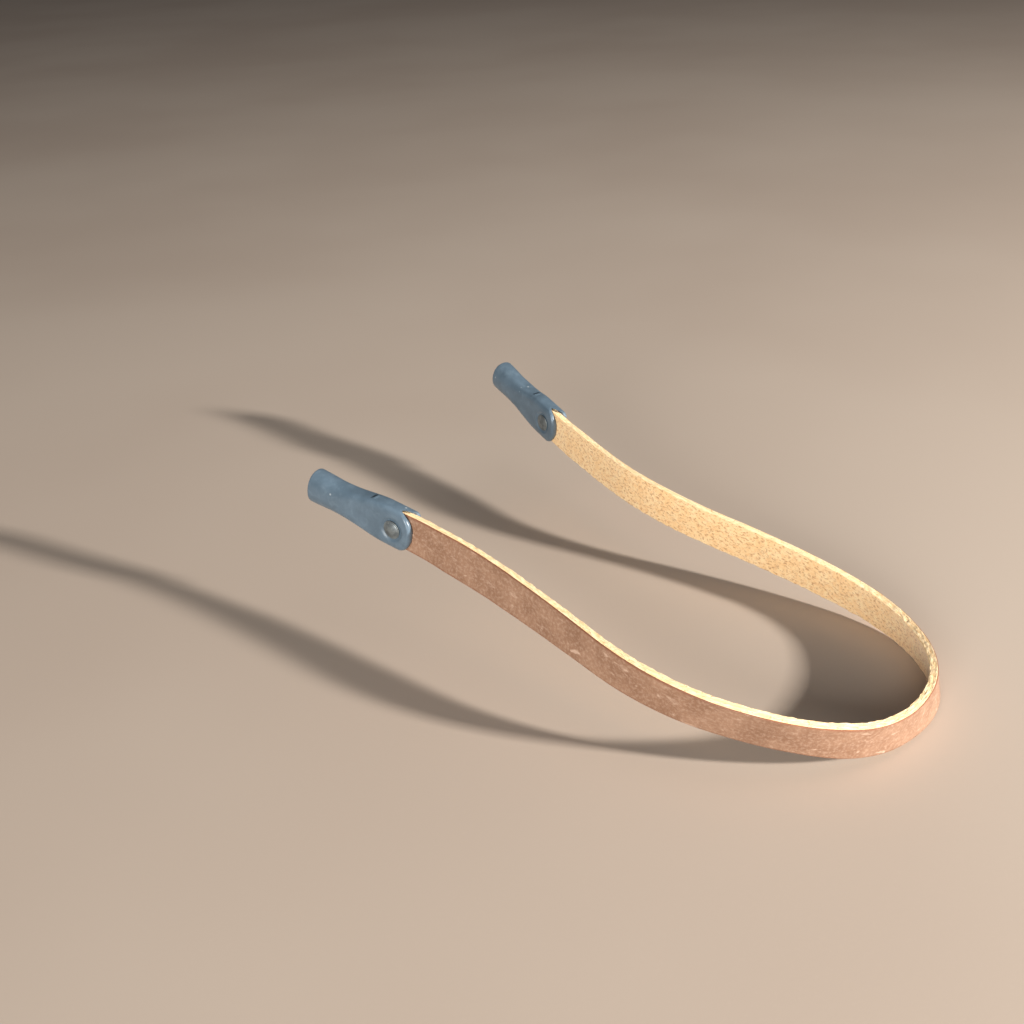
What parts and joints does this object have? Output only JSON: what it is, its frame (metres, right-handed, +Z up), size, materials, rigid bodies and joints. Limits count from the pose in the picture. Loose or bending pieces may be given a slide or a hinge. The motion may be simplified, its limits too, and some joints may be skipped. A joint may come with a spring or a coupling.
{
  "type": "eyeglass retainer strap",
  "caption": "Flat leather eyeglass retainer strap with a riveted rubber temple grip at each end, curved as it hangs behind a pair of glasses.",
  "frame": {"origin": "middle of the strap's inner face at the back of the loop, where it lies on the wearer's neck", "axes": "+X forward from the neck towards the temple grips, +Y to the wearer's left, +Z up"},
  "size_m": [0.2211, 0.1325, 0.0509],
  "materials": {
    "strap_leather": "matte vegetable-tanned leather, grain side out, raw suede inside and raw cut edges",
    "grip_rubber": "satin moulded rubber, dark blue-grey",
    "rivet_metal": "gunmetal blackened steel"
  },
  "bodies": {
    "strap_left": {"leather_strap_left": "strap_leather", "left_rivet_cap": "rivet_metal", "left_rivet_post": "rivet_metal"},
    "strap_right": {"leather_strap_right": "strap_leather", "right_rivet_cap": "rivet_metal", "right_rivet_post": "rivet_metal"},
    "left_grip": {"left_temple_grip": "grip_rubber"},
    "right_grip": {"right_temple_grip": "grip_rubber"}
  },
  "joints": [
    {"name": "strap_flex", "type": "hinge", "parent": "strap_left", "child": "strap_right", "pos_m": [-0.0013, 0, 0], "axis": [0, 0, 1], "range_deg": [-35, 22]},
    {"name": "left_grip_swivel", "type": "hinge", "parent": "strap_left", "child": "left_grip", "pos_m": [0.15897, 0.04317, 0.03112], "axis": [-0.0921, 0.9958, 0], "range_deg": [-2.5, 2.5]},
    {"name": "right_grip_swivel", "type": "hinge", "parent": "strap_right", "child": "right_grip", "pos_m": [0.1843, -0.06468, 0.02286], "axis": [-0.2965, -0.955, 0], "range_deg": [-2.5, 2.5]}
  ]
}
